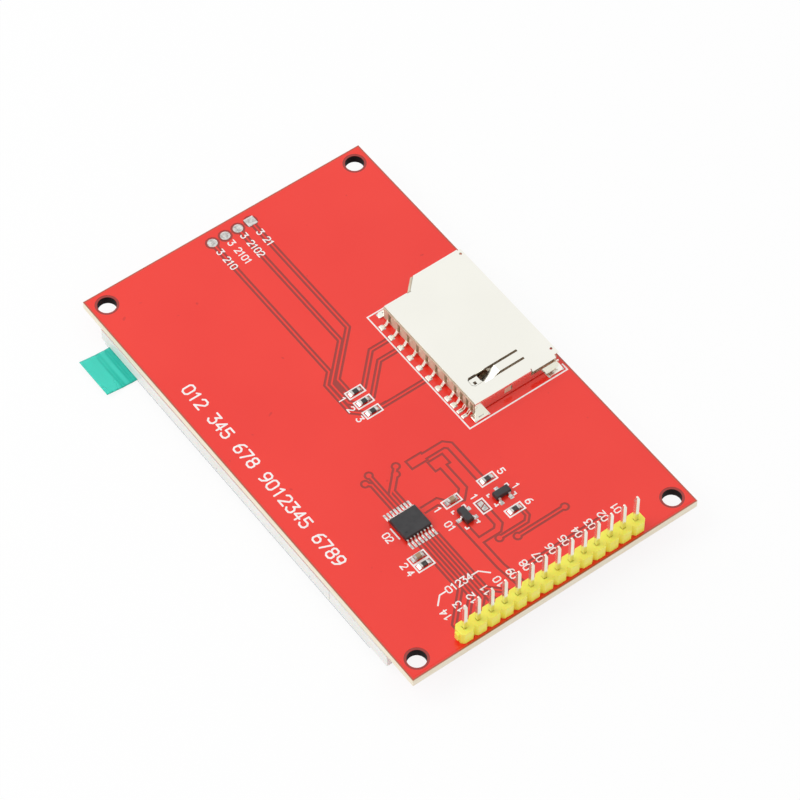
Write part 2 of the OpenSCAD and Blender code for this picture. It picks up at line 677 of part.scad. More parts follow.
module plate_outline() polygon([[-shell_d, fold_r], [flare_x[0], fold_r],
    [flare_x[0], flare_y], [0, flare_y], [0, shell_w - fold_r],
    [-step_x, shell_w - fold_r], [-step_x, shell_w - sheet_t],
    [-step_end, rear_w - sheet_t], [-step_end, rear_w - fold_r], [-shell_d, rear_w - fold_r]]);

// Opening round the tongue: a slot on each side and a narrow gap round the pad, with one
// corner cut like the pad's
module tongue_opening() {
    x0 = tongue_end - pad_gap;
    y0 = tongue_v - pad_gap;
    bend = tongue_low_x - 0.3;
    polygon([[x0, y0 + pad_corner], [x0 + pad_corner, y0], [bend, y0],
        [bend, tongue_v - tongue_gap], [tongue_x, tongue_v - tongue_gap],
        [tongue_x, tongue_v + tongue_w + tongue_gap],
        [x0 + pad_corner, tongue_v + tongue_w + tongue_gap], [x0, tongue_v + tongue_w]]);
}

module socket_shell() color("whitesmoke") at_socket() {
    difference() {
        union() {
            translate([0, 0, plate_z]) linear_extrude(sheet_t) difference() {
                plate_outline();
                difference() {
                    tongue_opening();
                    // the tongue's root stays joined to the plate
                    rect(tongue_x - 0.35, tongue_x + 1, tongue_v, tongue_v + tongue_w);
                }
                for (y = [1.55, shell_w - 1.2]) translate([-0.6, y]) circle(d = 0.5);
            }
            near_wall(-shell_d, flare_x[0]);
            far_wall(-step_x, -0.6, shell_w);
            far_wall(-shell_d, -step_end - lip_w - 0.1, rear_w);
            // low part of the near wall below the flare
            box(flare_x[0] - eps, flare_x[1], 0, sheet_t, wall_lift, low_wall);
            for (f = feet_x) foot(f, foot_reach);
            translate([0, rear_w, 0]) mirror([0, 1, 0]) foot(feet_x[0], rear_reach);
            translate([0, shell_w, 0]) mirror([0, 1, 0]) foot(feet_x[1], foot_reach);
        }
        // window in the near wall for the base's boss
        box(window_x[0], window_x[1], -eps, sheet_t + eps, window_z[0], window_z[1]);
    }
    tongue();
    // flared edge that guides the shell over the base
    along_x(flare_x[0] + 0.15, flare_x[1] + 0.1) line([[fold_r, plate_z + sheet_t / 2],
        [flare_y, plate_z + sheet_t / 2],
        [flare_y - flare, plate_z + sheet_t / 2 - flare]], sheet_t);
}

// Outline of the base inside the shell's walls, closed at the rear by the block
module base_outline() polygon([[block_x, inner], [-0.5, inner], [-0.5, shell_w - inner],
    [-step_x - lip_w, shell_w - inner], [-step_end - lip_w, rear_w - inner],
    [block_x, rear_w - inner]]);

// Space for the card, its cut corner at the step, and its way out of the mouth
module card_space() polygon([[stop_x, card_y], [1, card_y], [1, card_y + card_w],
    [stop_x + card_cut, card_y + card_w], [stop_x, card_y + card_w - card_cut]]);

module channel(v, w) {
    gap = contact_t / 2 + contact_fit;
    box(block_x - eps, block_front + eps, v - w / 2 - contact_fit, v + w / 2 + contact_fit,
        contact_z - gap, contact_z + gap);
    // pocket over the contact in the rear face
    box(block_x - eps, block_x + 0.6, v - 0.35, v + 0.35, contact_z, base_top - 0.3);
}

module socket_base() color("tan") at_socket() difference() {
    union() {
        linear_extrude(floor_t) base_outline();
        linear_extrude(stop_h) difference() {
            base_outline();
            card_space();
        }
        // rear wall, side rails and the far rear corner rise to the plate
        linear_extrude(base_top) difference() {
            base_outline();
            card_space();
            rect(block_front, stop_x + eps, card_y, card_y + card_w - card_cut);
        }
        // lip beside the shell's slanting edge
        linear_extrude(shell_h - 0.06) polygon([for (p = [[step_x, shell_w],
            [step_end, rear_w]]) [-p.x - lip_gap, p.y - inner],
            for (p = [[step_end, rear_w], [step_x, shell_w]]) [-p.x - lip_w, p.y - inner]]);
        // boss that fills the window of the near wall
        box(window_x[0] + 0.06, window_x[1] - 0.2, 0.04, inner + eps, window_z[0] + 0.06,
            window_z[1] - 0.06);
    }
    for (k = [0 : 8]) {
        channel(contact_v(k), contact_w);
        // slot for the spring, down through the floor
        box(block_front - eps, contact_tip + 0.3, contact_v(k) - contact_w / 2 - 0.1,
            contact_v(k) + contact_w / 2 + 0.1, -eps, stop_h + eps);
    }
    for (v = switch_v) channel(v, 0.55);
    // recess behind the flared edge
    box(flare_x[0] - 0.1, flare_x[1] + 0.1, -1, fold_r + sheet_t + 0.1, low_wall - 0.4, shell_h);
}

// Strip of a contact as (x, z): solder foot, riser, run through the block
foot_z = seat + contact_t / 2;
function contact_strip(end) = [[foot_x, foot_z], [foot_x + foot_flat, foot_z],
    [block_x - head_l, contact_z], [end, contact_z]];

module socket_contact(k) color("ivory") at_socket() translate([0, contact_v(k - 1), 0]) {
    difference() {
        along_y(-contact_w / 2, contact_w / 2) line(concat(contact_strip(block_front + 0.1),
            [[spring_x, spring_low], [contact_apex, spring_high],
            [contact_tip, spring_high - 0.3]]), contact_t);
        for (y = [-1, neck_w / 2])
            box(foot_x + foot_end_l, block_x - head_l, y, y + 1 - neck_w / 2, 0, shell_h);
    }
    // broad end of the solder foot
    box(foot_x, foot_x + foot_end_l, -contact_w / 2 - 0.1, contact_w / 2 + 0.1, seat,
        seat + contact_t);
}

module card_switch_contacts() color("ivory") at_socket() for (v = switch_v)
    translate([0, v, 0]) difference() {
        along_y(-0.275, 0.275) line(contact_strip(block_front - 0.1), contact_t);
        box(foot_x + 0.2, block_x - 0.35, -0.11, 0.11, -1, contact_z);
    }

// ---------------------------------------------------------------- chips

// Moulded body on a seat: its sides slope in above and below the parting line
module moulded_body(l, w, h) translate([0, 0, seat + 0.06]) intersection() {
    along_y(-w, w) polygon(body_section(l, h));
    along_x(-l, l) polygon(body_section(w, h));
}
function body_section(l, h) = [[-l / 2 + draft, 0], [l / 2 - draft, 0], [l / 2, h / 2],
    [l / 2 - draft, h], [-l / 2 + draft, h], [-l / 2, h / 2]];

// Gull wing lead that leaves a body's side at x = 0 and stands on the pads
module lead(w, body_h, reach) along_y(-w / 2, w / 2)
    line([[0, seat + 0.06 + body_h / 2], [reach * 0.25, seat + 0.06 + body_h / 2],
        [reach * 0.45, seat + lead_t / 2], [reach, seat + lead_t / 2]], lead_t);

module touch_controller() color("dimgray") translate(touch_chip) difference() {
    moulded_body(touch_chip_l, touch_chip_w, touch_chip_h);
    translate([-touch_chip_l / 2 + 0.7, -touch_chip_w / 2 + 0.7, seat + touch_chip_h])
        cylinder(d = 0.6, h = 1);
}
module regulator() color("dimgray") translate(reg_at)
    moulded_body(small_chip_w, small_chip_l, small_chip_h);
module transistor() color("dimgray") translate(transistor_at)
    moulded_body(small_chip_l, small_chip_w, small_chip_h);

module small_leads() for (a = [[0, -small_lead_y], [0, small_lead_y], [180, 0]])
    rotate(a[0]) translate([small_chip_w / 2, a[1], 0])
        lead(small_lead_w, small_chip_h, small_span - small_chip_w / 2);

module chip_leads() color("silver") {
    for (k = [0 : touch_leads - 1], s = [0, 1])
        translate(touch_chip) mirror([0, s, 0])
            translate([touch_lead_x(k) - touch_chip.x, touch_chip_w / 2, 0]) rotate(90)
                lead(lead_w, touch_chip_h, touch_span - touch_chip_w / 2);
    translate(reg_at) small_leads();
    translate(transistor_at) rotate(-90) small_leads();
}

// A chip's body runs inside its end caps, which wrap it by the thickness of their plating
plating = 0.03;
module chip_body(at, h) translate([at.x, at.y, seat + plating]) translate(
    [-chip_l / 2 + plating, -chip_w / 2 + plating, 0])
    cube([chip_l - 2 * plating, chip_w - 2 * plating, h - 2 * plating]);
module chip_caps(at, h) difference() {
    for (s = [-1, 1]) translate([at.x + s * (chip_l - cap_l) / 2, at.y, seat + h / 2])
        cube([cap_l, chip_w, h], center = true);
    chip_body(at, h);
}

module resistor(i) color("black") chip_body(resistors[i - 1], resistor_h);
module capacitor(i) color("tan") chip_body(capacitors[i - 1], capacitor_h);
module chip_end_caps() color("gainsboro") {
    for (p = resistors) chip_caps(p, resistor_h);
    for (p = capacitors) chip_caps(p, capacitor_h);
}

// ---------------------------------------------------------------- display

// Flat layer with its upper face at z
module layer(hw, y0, y1, z, t) box(-hw, hw, y0, y1, z - t, z);

module mounting_tape() color("beige") translate([0, 0, panel_z]) linear_extrude(tape_t) {
    x1 = panel_hw - tape_inset;
    y1 = panel_y1 - tape_inset;
    for (s = [-1, 1]) scale([s, 1]) {
        rect(flex_w / 2 + 1, panel_hw - 0.1, panel_y0 + 0.2, seam_y);
        rect(x1 - tape_w, x1, seam_y - eps, y1);
    }
    rect(-x1, x1, y1 - tape_w, y1);
}

module backlight_frame() color("white") difference() {
    layer(panel_hw, panel_y0, panel_y1, panel_z, frame_t);
    // opening for the light guide, through the frame
    layer(opening_hw, opening_y0, opening_y1, panel_z + eps, frame_t + 2 * eps);
    // rear recess for the reflector, and front recess for the glass
    layer(opening_hw + 0.5, opening_y0 - 0.5, opening_y1 + 0.3, panel_z + eps,
        panel_z - guide_z + eps);
    layer(glass_hw + lay_gap, glass_y0 - lay_gap, glass_y1 + lay_gap, rear_glass_z,
        frame_t + eps);
    // way out for the flexible circuit
    box(-flex_w / 2 - 0.3, flex_w / 2 + 0.3, panel_y0 - 1, glass_y0, touch_z - eps,
        front_glass_z + lay_gap);
    // latch nicks and the seam in the sides
    for (s = [-1, 1], y = [panel_y0 + 20, panel_y0 + 45.3])
        translate([s * panel_hw, y, touch_z + 0.2]) cube([0.4, 0.35, 0.8], center = true);
    for (s = [-1, 1])
        translate([s * panel_hw, seam_y, touch_z]) cube([0.4, 0.15, 2 * frame_t + 1], center = true);
}

module reflector_sheet() color("silver")
    layer(opening_hw + 0.4, opening_y0 - 0.4, opening_y1 + 0.2, reflector_z, reflector_t);
module light_guide() color("lightcyan")
    layer(opening_hw - lay_gap, light_y0, opening_y1 - lay_gap, guide_z, guide_t);
module diffuser_sheet() color("snow")
    layer(opening_hw - lay_gap, opening_y0 + lay_gap, opening_y1 - lay_gap, diffuser_z, diffuser_t);
module rear_polarizer() color("dimgray")
    layer(opening_hw - lay_gap, opening_y0 + lay_gap, opening_y1 - lay_gap, rear_pol_z, polarizer_t);

// Strip of lamps that shine into the end of the light guide
lamp_count = 6;
module backlight_strip() color("gold") {
    layer(opening_hw - lay_gap, opening_y0 + lay_gap, light_y0 - lay_gap, guide_z, flex_t);
    for (i = [1 : lamp_count])
        translate([(i - (lamp_count + 1) / 2) * 1.9 * opening_hw / lamp_count, 0, 0])
            layer(1.5, light_y0 - 1.3, light_y0 - lay_gap / 2, guide_z - flex_t,
                guide_t - flex_t);
}

module lcd_rear_glass() color("lightsteelblue")
    layer(glass_hw, glass_y0, glass_y1, rear_glass_z, glass_t);
module lcd_front_glass() color("lightsteelblue")
    layer(glass_hw, cf_y0, glass_y1, front_glass_z, glass_t);
module front_polarizer() color("darkslategray")
    layer(glass_hw - 0.6, cf_y0 + 0.6, glass_y1 - 0.6, front_pol_z, polarizer_t);
module driver_chip() color("black")
    layer(driver_size.x / 2, driver_y, driver_y + driver_size.y, front_glass_z, driver_size.z);

module display_flex() color("orange") along_x(-flex_w / 2, flex_w / 2) {
    rect(loop_y - eps, glass_y0 + flex_lap, flex_low - flex_t / 2, flex_low + flex_t / 2);
    rect(loop_y - eps, flex_end, flex_high - flex_t / 2, flex_high + flex_t / 2);
    translate([loop_y, loop_z]) difference() {
        circle(r = loop_r + flex_t / 2);
        circle(r = loop_r - flex_t / 2);
        translate([0, -2 * loop_r]) square(4 * loop_r);
    }
}

module touch_glass() color("azure") layer(touch_hw, touch_y0, touch_y1, touch_z, touch_t);
module touch_film() color("aliceblue")
    layer(film_hw, touch_y0 + flex_lap + 0.2, touch_y1 - 0.2, touch_film_z, touch_film_t);

// Thin tail from the touch panel, bent up to lie against the display's loop
module touch_flex() color("orange")
    along_x(touch_flex_x, touch_flex_x + touch_flex_w) {
        tail_y = loop_y - loop_r - flex_t; // middle of the strip where it touches the loop
        low = touch_film_z - flex_t / 2;
        bend = [tail_y + touch_flex_r, low + touch_flex_r];
        rect(bend.x - eps, touch_y0 + flex_lap, low - flex_t / 2, low + flex_t / 2);
        rect(tail_y - flex_t / 2, tail_y + flex_t / 2, bend.y - eps, loop_z + 0.1);
        translate(bend) intersection() {
            difference() {
                circle(r = touch_flex_r + flex_t / 2);
                circle(r = touch_flex_r - flex_t / 2);
            }
            translate([-2 * touch_flex_r, -2 * touch_flex_r]) square(2 * touch_flex_r);
        }
    }

module protective_film() color("lightcyan")
    layer(cover_hw, touch_y0 + 0.4, touch_y1 + 0.1, cover_z, cover_t);

// Tab glued to the margin of the film's upper face, which curls up past the edge
module pull_tab() color("turquoise") along_y(panel_y1 - tab_edge - tab_w, panel_y1 - tab_edge)
    line([[-cover_hw + tab_lap, tab_z], [-panel_hw, tab_z],
        [-panel_hw - tab_out * 0.3, tab_z + tab_curl * 0.1],
        [-panel_hw - tab_out * 0.65, tab_z + tab_curl * 0.45],
        [-panel_hw - tab_out, tab_z + tab_curl]], tab_t);

// ---------------------------------------------------------------- nodes

circuit_board();
solder();
silkscreen();
header_housing();
for (i = [1 : pin_count]) header_pin(i);
socket_shell();
socket_base();
for (i = [1 : 9]) socket_contact(i);
card_switch_contacts();
touch_controller();
regulator();
transistor();
chip_leads();
for (i = [1 : 6]) resistor(i);
for (i = [1 : 2]) capacitor(i);
chip_end_caps();
mounting_tape();
backlight_frame();
reflector_sheet();
light_guide();
backlight_strip();
diffuser_sheet();
rear_polarizer();
lcd_rear_glass();
lcd_front_glass();
front_polarizer();
driver_chip();
display_flex();
touch_glass();
touch_film();
touch_flex();
protective_film();
pull_tab();
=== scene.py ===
import math
import bpy
import numpy as np
from mathutils import Matrix, Vector


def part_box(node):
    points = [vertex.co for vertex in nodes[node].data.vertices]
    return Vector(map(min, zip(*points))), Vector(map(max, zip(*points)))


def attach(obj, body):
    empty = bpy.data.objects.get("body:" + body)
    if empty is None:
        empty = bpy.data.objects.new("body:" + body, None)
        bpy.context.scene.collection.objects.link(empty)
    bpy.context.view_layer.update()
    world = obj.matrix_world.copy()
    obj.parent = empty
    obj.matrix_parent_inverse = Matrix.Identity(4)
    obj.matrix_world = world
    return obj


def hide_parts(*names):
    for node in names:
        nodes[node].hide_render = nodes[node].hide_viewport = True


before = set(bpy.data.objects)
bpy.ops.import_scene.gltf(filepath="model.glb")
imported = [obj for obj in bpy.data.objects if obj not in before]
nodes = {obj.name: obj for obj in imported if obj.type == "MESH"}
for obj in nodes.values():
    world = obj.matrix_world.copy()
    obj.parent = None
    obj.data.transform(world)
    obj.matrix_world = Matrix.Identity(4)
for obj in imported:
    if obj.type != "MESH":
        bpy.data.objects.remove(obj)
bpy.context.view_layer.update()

mm = 0.001
pinPitch = 2.54

# levels and edges that the pieces share, read from the frame
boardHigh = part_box("circuit_board")[1]
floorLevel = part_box("protective_film")[0].z
print("frame loaded:", len(nodes), "nodes")


def addMesh(name, verts, faces, smooth=False):
    # verts is n by 3 in metres, faces is m by 3 or m by 4 indices
    verts = np.asarray(verts, np.float32)
    faces = np.asarray(faces, np.int32)
    sides = faces.shape[1]
    mesh = bpy.data.meshes.new(name)
    mesh.vertices.add(len(verts))
    mesh.vertices.foreach_set("co", verts.ravel())
    mesh.loops.add(faces.size)
    mesh.loops.foreach_set("vertex_index", faces.ravel())
    mesh.polygons.add(len(faces))
    mesh.polygons.foreach_set("loop_start", np.arange(len(faces), dtype=np.int32) * sides)
    mesh.polygons.foreach_set("use_smooth", np.full(len(faces), smooth))
    mesh.update(calc_edges=True)
    mesh.validate()
    piece = bpy.data.objects.new(name, mesh)
    bpy.context.scene.collection.objects.link(piece)
    return piece


def gridFaces(rows, cols, closeCols=False):
    # quads between neighbouring rows and columns of a grid of points
    r = np.arange(rows - 1)[:, None]
    c = np.arange(cols if closeCols else cols - 1)[None, :]
    right = (c + 1) % cols
    near, far = r * cols, (r + 1) * cols
    return np.stack([near + c, near + right, far + right, far + c], -1).reshape(-1, 4)


def rideRoot(piece, material):
    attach(piece, "root")
    piece.data.materials.append(material)
    return piece


class Nodes:
    # a short way to write a material's node tree
    def __init__(self, name):
        self.material = bpy.data.materials.new(name)
        self.material.use_nodes = True
        self.tree = self.material.node_tree
        self.shader = self.tree.nodes["Principled BSDF"]
        self.place = self.add("ShaderNodeTexCoord").outputs["Object"]

    def add(self, kind, **settings):
        node = self.tree.nodes.new(kind)
        for key, value in settings.items():
            setattr(node, key, value)
        return node

    def link(self, source, target):
        self.tree.links.new(source, target)

    def mapped(self, stretch=(1, 1, 1), turn=(0, 0, 0)):
        node = self.add("ShaderNodeMapping")
        node.inputs["Scale"].default_value = stretch
        node.inputs["Rotation"].default_value = turn
        self.link(self.place, node.inputs["Vector"])
        return node.outputs["Vector"]

    def noise(self, scale, detail=3.0, place=None, rough=0.55):
        node = self.add("ShaderNodeTexNoise")
        node.inputs["Scale"].default_value = scale
        node.inputs["Detail"].default_value = detail
        node.inputs["Roughness"].default_value = rough
        self.link(place or self.place, node.inputs["Vector"])
        return node.outputs["Fac"]

    def spread(self, value, fromLow, fromHigh, toLow, toHigh):
        node = self.add("ShaderNodeMapRange")
        limits = {"From Min": fromLow, "From Max": fromHigh, "To Min": toLow, "To Max": toHigh}
        for key, number in limits.items():
            node.inputs[key].default_value = number
        self.link(value, node.inputs["Value"])
        return node.outputs["Result"]

    def math(self, kind, a, b=None):
        node = self.add("ShaderNodeMath", operation=kind)
        for socket, value in zip(node.inputs, (a, b)):
            if value is None:
                continue
            if isinstance(value, (int, float)):
                socket.default_value = value
            else:
                self.link(value, socket)
        return node.outputs[0]

    def blend(self, factor, a, b):
        # colour a where factor is 0 and colour b where it is 1
        node = self.add("ShaderNodeMix", data_type="RGBA")
        if isinstance(factor, (int, float)):
            node.inputs[0].default_value = factor
        else:
            self.link(factor, node.inputs[0])
        for socket, value in ((node.inputs[6], a), (node.inputs[7], b)):
            if isinstance(value, tuple):
                socket.default_value = (*value, 1.0)
            else:
                self.link(value, socket)
        return node.outputs[2]

    def axis(self, name):
        node = self.add("ShaderNodeSeparateXYZ")
        self.link(self.place, node.inputs[0])
        return node.outputs[name]

    def facing(self, name):
        # one component of the surface's direction
        geometry = self.add("ShaderNodeNewGeometry")
        node = self.add("ShaderNodeSeparateXYZ")
        self.link(geometry.outputs["Normal"], node.inputs[0])
        return node.outputs[name]

    def bump(self, height, depth, strength=1.0):
        node = self.add("ShaderNodeBump")
        node.inputs["Distance"].default_value = depth
        node.inputs["Strength"].default_value = strength
        self.link(height, node.inputs["Height"])
        self.link(node.outputs["Normal"], self.shader.inputs["Normal"])

    def set(self, **values):
        for key, value in values.items():
            self.shader.inputs[key.replace("_", " ")].default_value = value


def finish(name, look):
    # a surface whose colour and roughness drift between two values over soft blotches,
    # with a fine grain raised on it
    n = Nodes(name)
    place = n.mapped(look.get("stretch", (1, 1, 1)), look.get("turn", (0, 0, 0)))
    drift = n.noise(look["blotch"], 3.0, place)
    n.link(n.blend(n.spread(drift, 0.35, 0.65, 0, 1), look["colour"], look["shade"]),
           n.shader.inputs["Base Color"])
    low, high = look["rough"]
    n.link(n.spread(n.noise(look["blotch"] * 2.3, 4.0, place), 0.3, 0.7, low, high),
           n.shader.inputs["Roughness"])
    n.bump(n.noise(look["grain"], 2.0, place), look["depth"])
    n.set(Metallic=look.get("metal", 0.0))
    for key, value in look.get("shader", {}).items():
        n.shader.inputs[key].default_value = value
    return n.material


looks = {
    "tinPads": dict(colour=(0.78, 0.77, 0.74), shade=(0.46, 0.44, 0.42), blotch=1500,
                    rough=(0.14, 0.3), grain=1700, depth=0.00009, metal=1.0),
    "printInk": dict(colour=(0.93, 0.88, 0.86), shade=(0.88, 0.80, 0.78), blotch=700,
                     rough=(0.5, 0.7), grain=5000, depth=0.000006),
    "yellowStrip": dict(colour=(0.93, 0.86, 0.115), shade=(0.90, 0.81, 0.085), blotch=300,
                        rough=(0.3, 0.42), grain=2500, depth=0.000006,
                        shader={"Subsurface Weight": 0.2, "Subsurface Scale": 0.0015}),
    "pinPlating": dict(colour=(0.88, 0.85, 0.76), shade=(0.80, 0.76, 0.64), blotch=600,
                       rough=(0.1, 0.2), grain=1800, depth=0.000006, metal=1.0,
                       stretch=(3, 3, 0.35)),
    "contactPlating": dict(colour=(0.93, 0.90, 0.82), shade=(0.82, 0.76, 0.62), blotch=900,
                           rough=(0.1, 0.2), grain=1600, depth=0.000012, metal=1.0),
    "socketPlastic": dict(colour=(0.72, 0.61, 0.46), shade=(0.60, 0.47, 0.34), blotch=420,
                          rough=(0.35, 0.5), grain=3000, depth=0.00001),
    "chipMould": dict(colour=(0.032, 0.031, 0.033), shade=(0.022, 0.021, 0.023), blotch=800,
                      rough=(0.4, 0.55), grain=5200, depth=0.00002),
    "leadTin": dict(colour=(0.78, 0.77, 0.75), shade=(0.62, 0.61, 0.59), blotch=900,
                    rough=(0.2, 0.36), grain=2600, depth=0.00001, metal=1.0),
    "resistorGlaze": dict(colour=(0.022, 0.020, 0.022), shade=(0.045, 0.04, 0.04), blotch=900,
                          rough=(0.22, 0.36), grain=3600, depth=0.000012),
    "capacitorCeramic": dict(colour=(0.40, 0.27, 0.16), shade=(0.31, 0.20, 0.12), blotch=900,
                             rough=(0.35, 0.5), grain=3600, depth=0.000012),
    "foamTape": dict(colour=(0.80, 0.78, 0.74), shade=(0.68, 0.66, 0.62), blotch=500,
                     rough=(0.8, 0.95), grain=1800, depth=0.00008),
    "whiteFrame": dict(colour=(0.86, 0.85, 0.82), shade=(0.80, 0.79, 0.75), blotch=60,
                       rough=(0.3, 0.45), grain=1500, depth=0.000006,
                       shader={"Subsurface Weight": 0.1, "Subsurface Scale": 0.001}),
    "diffuserFilm": dict(colour=(0.90, 0.90, 0.90), shade=(0.84, 0.84, 0.85), blotch=80,
                         rough=(0.6, 0.75), grain=4000, depth=0.00001),
    "polarizer": dict(colour=(0.018, 0.020, 0.024), shade=(0.012, 0.013, 0.017), blotch=30,
                      rough=(0.12, 0.2), grain=2500, depth=0.000002),
    "reflectorFoil": dict(colour=(0.92, 0.92, 0.92), shade=(0.86, 0.86, 0.87), blotch=60,
                          rough=(0.08, 0.16), grain=900, depth=0.000004, metal=1.0),
}
made = {key: finish(key, look) for key, look in looks.items()}


def boardMaterial(look):
    # the mask over copper is bright, the etched step shows dark, the cut edges are bare laminate, and the
    # walls of the holes are painted near black as painted shade
    n = Nodes("solderMask")
    z = n.axis("Z")
    up = n.facing("Z")
    x, y = n.math("ABSOLUTE", n.axis("X")), n.math("ABSOLUTE", n.axis("Y"))
    drift = n.spread(n.noise(look["drift"], 2.0), 0.35, 0.65, 0, 1)
    bright = n.blend(drift, look["mask"], look["maskShade"])
    # small flecks in the mask
    flecks = n.spread(n.noise(look["fleckScale"], 1.0), 0.76, 0.79, 0, 0.5)
    bright = n.blend(flecks, bright, look["fleck"])
    # distance in from the nearest edge of the board
    inward = n.math("MINIMUM", n.math("SUBTRACT", boardHigh.x, x),
                    n.math("SUBTRACT", boardHigh.y, y))
    rim = n.spread(inward, look["rimStart"] * mm, look["rim"] * mm, 1, 0)
    etched = n.math("LESS_THAN", z, -look["etchTop"] * mm)
    bare = n.math("GREATER_THAN", inward, look["etchInset"] * mm)
    red = n.blend(n.math("MULTIPLY", etched, bare), bright, look["etched"])
    red = n.blend(rim, red, look["rimShade"])
    red = n.blend(n.math("LESS_THAN", z, -look["underside"] * mm), red, look["maskShade"])
    cut = n.math("LESS_THAN", n.math("ABSOLUTE", up), 0.5)
    deep = n.math("LESS_THAN", z, -look["wallTop"] * mm)
    # glass layers run round the cut edge, with a brown line under the mask
    layers = n.noise(look["layers"], 4.0, n.mapped((1, 1, 9)))
    edge = n.blend(n.spread(layers, 0.3, 0.7, 0, 1), look["laminate"], look["laminateShade"])
    edge = n.blend(n.spread(z, -0.3 * mm, -0.08 * mm, 0, 0.75), edge, look["edgeLine"])
    # cut walls more than holeInset in from the board's edge are the holes' walls: painted shade, near black
    # and with little reflection
    inside = n.math("GREATER_THAN", inward, look["holeInset"] * mm)
    edge = n.blend(inside, edge, look["holeShadeColour"])
    wall = n.math("MULTIPLY", cut, deep)
    n.link(n.blend(wall, red, edge), n.shader.inputs["Base Color"])
    rough = n.spread(n.noise(120, 3.0), 0.3, 0.7, *look["rough"])
    n.link(n.math("MAXIMUM", rough, n.math("MULTIPLY", wall, look["cutRough"])), n.shader.inputs["Roughness"])
    n.link(n.math("SUBTRACT", 0.5, n.math("MULTIPLY", n.math("MULTIPLY", wall, inside), 0.45)),
           n.shader.inputs["Specular IOR Level"])
    n.bump(n.noise(900, 3.0), 0.000006)
    n.set(IOR=1.6)
    return n.material


boardLook = {"mask": (0.86, 0.026, 0.012), "maskShade": (0.83, 0.020, 0.009), "drift": 38,
             "fleck": (0.55, 0.012, 0.008), "fleckScale": 520, "rough": (0.16, 0.24),
             "etched": (0.33, 0.022, 0.014), "etchTop": 0.01, "etchInset": 0.6,
             "rimStart": 0.1, "rim": 0.34, "rimShade": (0.42, 0.075, 0.035), "underside": 1.0,
             "laminate": (0.92, 0.85, 0.70), "laminateShade": (0.84, 0.74, 0.56), "layers": 260,
             "edgeLine": (0.55, 0.42, 0.26), "wallTop": 0.04, "cutRough": 0.6,
             "holeShadeColour": (0.012, 0.004, 0.005), "holeInset": 0.2}


def shellMaterial(look):
    # rolled sheet: fine lines along the rolling direction and a few broad soft patches
    n = Nodes("shellSteel")
    lines = n.noise(420, 3.0, n.mapped((0.06, 1, 1)))
    patch = n.noise(70, 2.0)
    n.link(n.blend(n.spread(patch, 0.35, 0.65, 0, 1), look["colour"], look["shade"]),
           n.shader.inputs["Base Color"])
    n.link(n.spread(lines, 0.3, 0.7, *look["rough"]), n.shader.inputs["Roughness"])
    n.bump(lines, 0.000004)
    n.set(Metallic=1.0)
    return n.material


shellLook = {"colour": (0.915, 0.905, 0.835), "shade": (0.895, 0.885, 0.815), "rough": (0.13, 0.2)}


def glassMaterial(name, tint, rough, ior=1.46):
    n = Nodes(name)
    shade = tuple(v * 0.97 for v in tint)
    n.link(n.blend(n.noise(40, 2.0), tint, shade), n.shader.inputs["Base Color"])
    n.link(n.spread(n.noise(90, 4.0), 0.3, 0.7, *rough), n.shader.inputs["Roughness"])
    n.set(IOR=ior)
    n.shader.inputs["Transmission Weight"].default_value = 1.0
    return n.material


def flexMaterial(look):
    # amber film over copper tracks that run along Y
    n = Nodes("flexFilm")
    stripe = n.math("FRACT", n.math("MULTIPLY", n.axis("X"), 1 / (look["pitch"] * mm)))
    track = n.spread(n.math("ABSOLUTE", n.math("SUBTRACT", stripe, 0.5)), 0.2, 0.26, 1, 0)
    base = n.blend(n.noise(90, 3.0), look["film"], look["filmShade"])
    n.link(n.blend(track, base, look["track"]), n.shader.inputs["Base Color"])
    n.link(n.spread(n.noise(200, 3.0), 0.3, 0.7, 0.25, 0.4), n.shader.inputs["Roughness"])
    n.bump(track, 0.00001)
    return n.material


flexLook = {"pitch": 0.8, "film": (0.62, 0.24, 0.045), "filmShade": (0.52, 0.19, 0.035),
            "track": (0.80, 0.40, 0.10)}

made["solderMask"] = boardMaterial(boardLook)
made["shellSteel"] = shellMaterial(shellLook)
made["guideAcrylic"] = glassMaterial("guideAcrylic", (0.95, 0.97, 0.98), (0.04, 0.1), 1.49)
made["panelGlass"] = glassMaterial("panelGlass", (0.90, 0.95, 0.94), (0.02, 0.05), 1.51)
made["touchGlass"] = glassMaterial("touchGlass", (0.93, 0.97, 0.96), (0.02, 0.05), 1.51)
made["touchFilm"] = glassMaterial("touchFilm", (0.95, 0.96, 0.96), (0.08, 0.16), 1.5)
made["coverFilm"] = glassMaterial("coverFilm", (0.93, 0.96, 0.97), (0.05, 0.14), 1.45)
made["flexFilm"] = flexMaterial(flexLook)

wears = {
    "circuit_board": "solderMask", "solder": "tinPads", "silkscreen": "printInk",
    "header_housing": "yellowStrip", "socket_shell": "shellSteel", "socket_base": "socketPlastic",
    "card_switch_contacts": "contactPlating", "touch_controller": "chipMould",
    "regulator": "chipMould", "transistor": "chipMould", "chip_leads": "leadTin",
    "chip_end_caps": "tinPads", "mounting_tape": "foamTape", "backlight_frame": "whiteFrame",
    "reflector_sheet": "reflectorFoil", "light_guide": "guideAcrylic",
    "backlight_strip": "flexFilm",
    "diffuser_sheet": "diffuserFilm", "rear_polarizer": "polarizer", "lcd_rear_glass": "panelGlass",
    "lcd_front_glass": "panelGlass", "front_polarizer": "polarizer", "driver_chip": "resistorGlaze",
    "display_flex": "flexFilm", "touch_glass": "touchGlass", "touch_film": "touchFilm",
    "touch_flex": "flexFilm", "protective_film": "coverFilm",
}
families = {"header_pin_": "pinPlating", "socket_contact_": "contactPlating",
            "resistor_": "resistorGlaze", "capacitor_": "capacitorCeramic"}


def dressNodes():
    for name, part in nodes.items():
        finishName = wears.get(name) or next(
            (value for key, value in families.items() if name.startswith(key)), None)
        if finishName is None:
            continue
        part.data.materials.clear()
        part.data.materials.append(made[finishName])


dressNodes()
print("nodes dressed")


